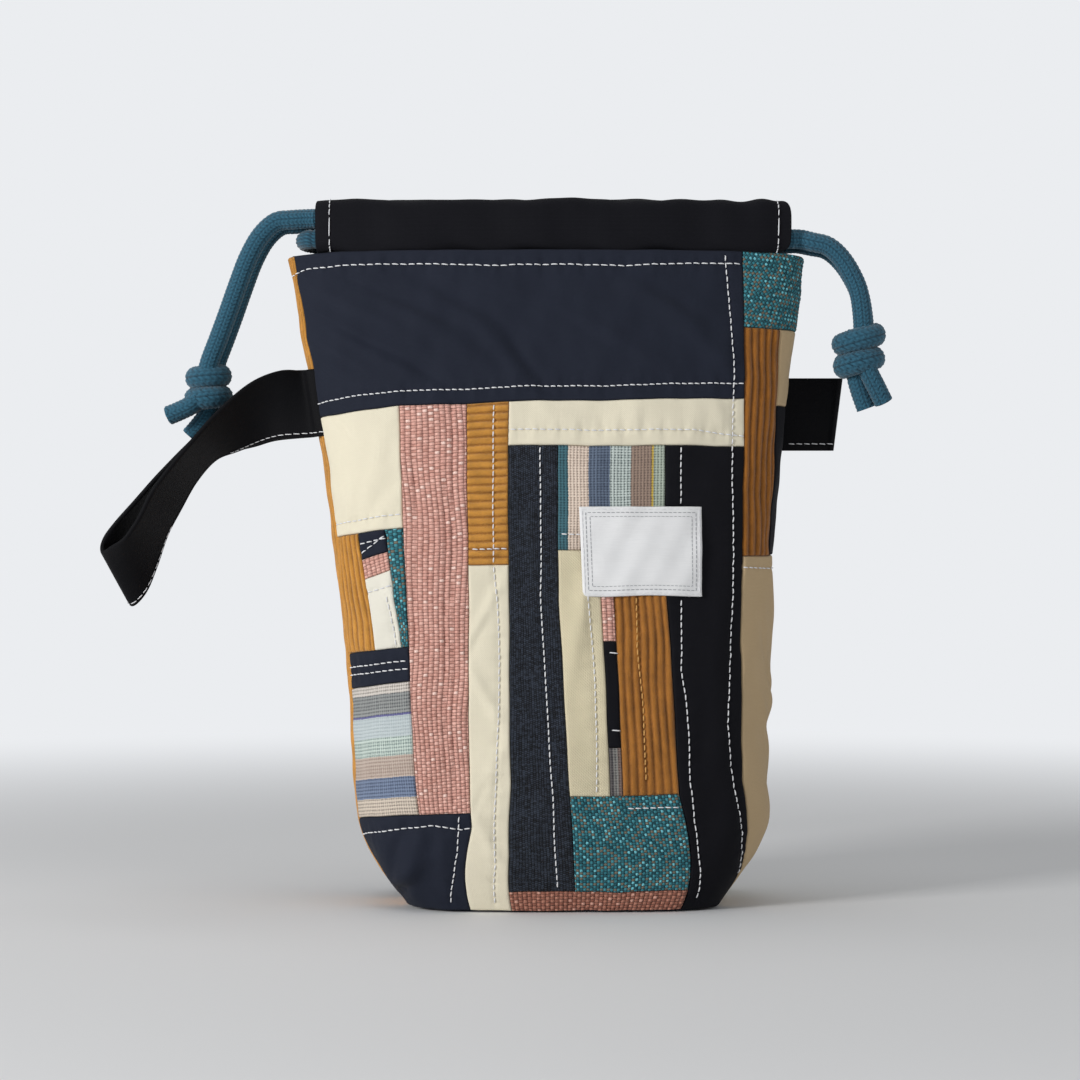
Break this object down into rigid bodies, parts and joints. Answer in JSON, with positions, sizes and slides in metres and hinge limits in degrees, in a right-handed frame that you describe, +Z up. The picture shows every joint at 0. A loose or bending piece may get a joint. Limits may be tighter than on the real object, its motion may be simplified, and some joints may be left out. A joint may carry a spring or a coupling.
{
  "type": "knitting project bag",
  "caption": "Patchwork drawstring project bag with a boxed flat base, cord casings, knotted cords, a wrist strap loop and a side tab.",
  "frame": {"origin": "centre of the flat base, on the surface that the bag stands on", "axes": "+Z up; the front with the label looks along -Y; +X to the viewer's right; +Y is the short way through the bag"},
  "size_m": [0.2838, 0.0867, 0.2503],
  "materials": {
    "navy_cotton": "plain woven navy-black cotton, matt",
    "black_cotton": "plain woven black cotton, matt",
    "navy_linen": "open slubby linen weave, matt",
    "cream_cotton": "cream cotton twill, matt",
    "ivory_cotton": "ivory cotton, matt",
    "khaki_cotton": "pale khaki cotton, matt",
    "pink_tweed": "chunky pink basket weave with dark flecks",
    "gold_corduroy": "gold corduroy, soft pile on the wales",
    "teal_tweed": "teal tweed with bright and brown flecks",
    "striped_cotton": "loosely woven cotton in muted stripes",
    "tan_cotton": "tan cotton, matt",
    "natural_lining": "natural cotton lining, matt",
    "black_tape": "black cotton tape, topstitched",
    "blue_cord": "knitted teal-blue cotton cord",
    "white_label": "white woven label, bare, with a stitched border"
  },
  "bodies": {
    "root": {"front_top_band": "navy_cotton", "cream_upper_left": "cream_cotton", "pink_tweed_column": "pink_tweed", "corduroy_cross_ribbed": "gold_corduroy", "cream_long_column": "cream_cotton", "cream_upper_strip": "cream_cotton", "navy_linen_column": "navy_linen", "striped_upper_patch": "striped_cotton", "black_right_column": "black_cotton", "khaki_lower_column": "khaki_cotton", "pink_sliver": "pink_tweed", "black_sliver": "black_cotton", "striped_sliver": "striped_cotton", "corduroy_lower": "gold_corduroy", "teal_tweed_base_patch": "teal_tweed", "pink_base_strip": "pink_tweed", "corduroy_left_small": "gold_corduroy", "navy_small_left": "navy_cotton", "pink_small_left": "pink_tweed", "ivory_small_left": "ivory_cotton", "teal_narrow_left": "teal_tweed", "navy_band_left": "navy_cotton", "striped_lower_left": "striped_cotton", "navy_corner_lower_left": "navy_cotton", "teal_tweed_side": "teal_tweed", "corduroy_side": "gold_corduroy", "tan_side_strip": "tan_cotton", "black_side_strip": "black_cotton", "tan_side_lower": "tan_cotton", "back_top_band": "navy_cotton", "back_cream_column": "cream_cotton", "back_linen_column": "navy_linen", "back_tan_column": "tan_cotton", "back_black_column": "black_cotton", "corduroy_back_edge": "gold_corduroy", "base_panel": "navy_cotton", "lining": "natural_lining", "mouth_facing": "black_cotton", "front_casing": "black_cotton", "back_casing": "black_cotton", "drawstring_left": "blue_cord", "drawstring_right": "blue_cord", "cord_end_left_front": "blue_cord", "cord_end_left_back": "blue_cord", "cord_end_right_front": "blue_cord", "cord_end_right_back": "blue_cord", "knot_left": "blue_cord", "knot_right": "blue_cord", "wrist_strap": "black_tape", "side_tab": "black_tape", "woven_label": "white_label"}
  },
  "joints": []
}
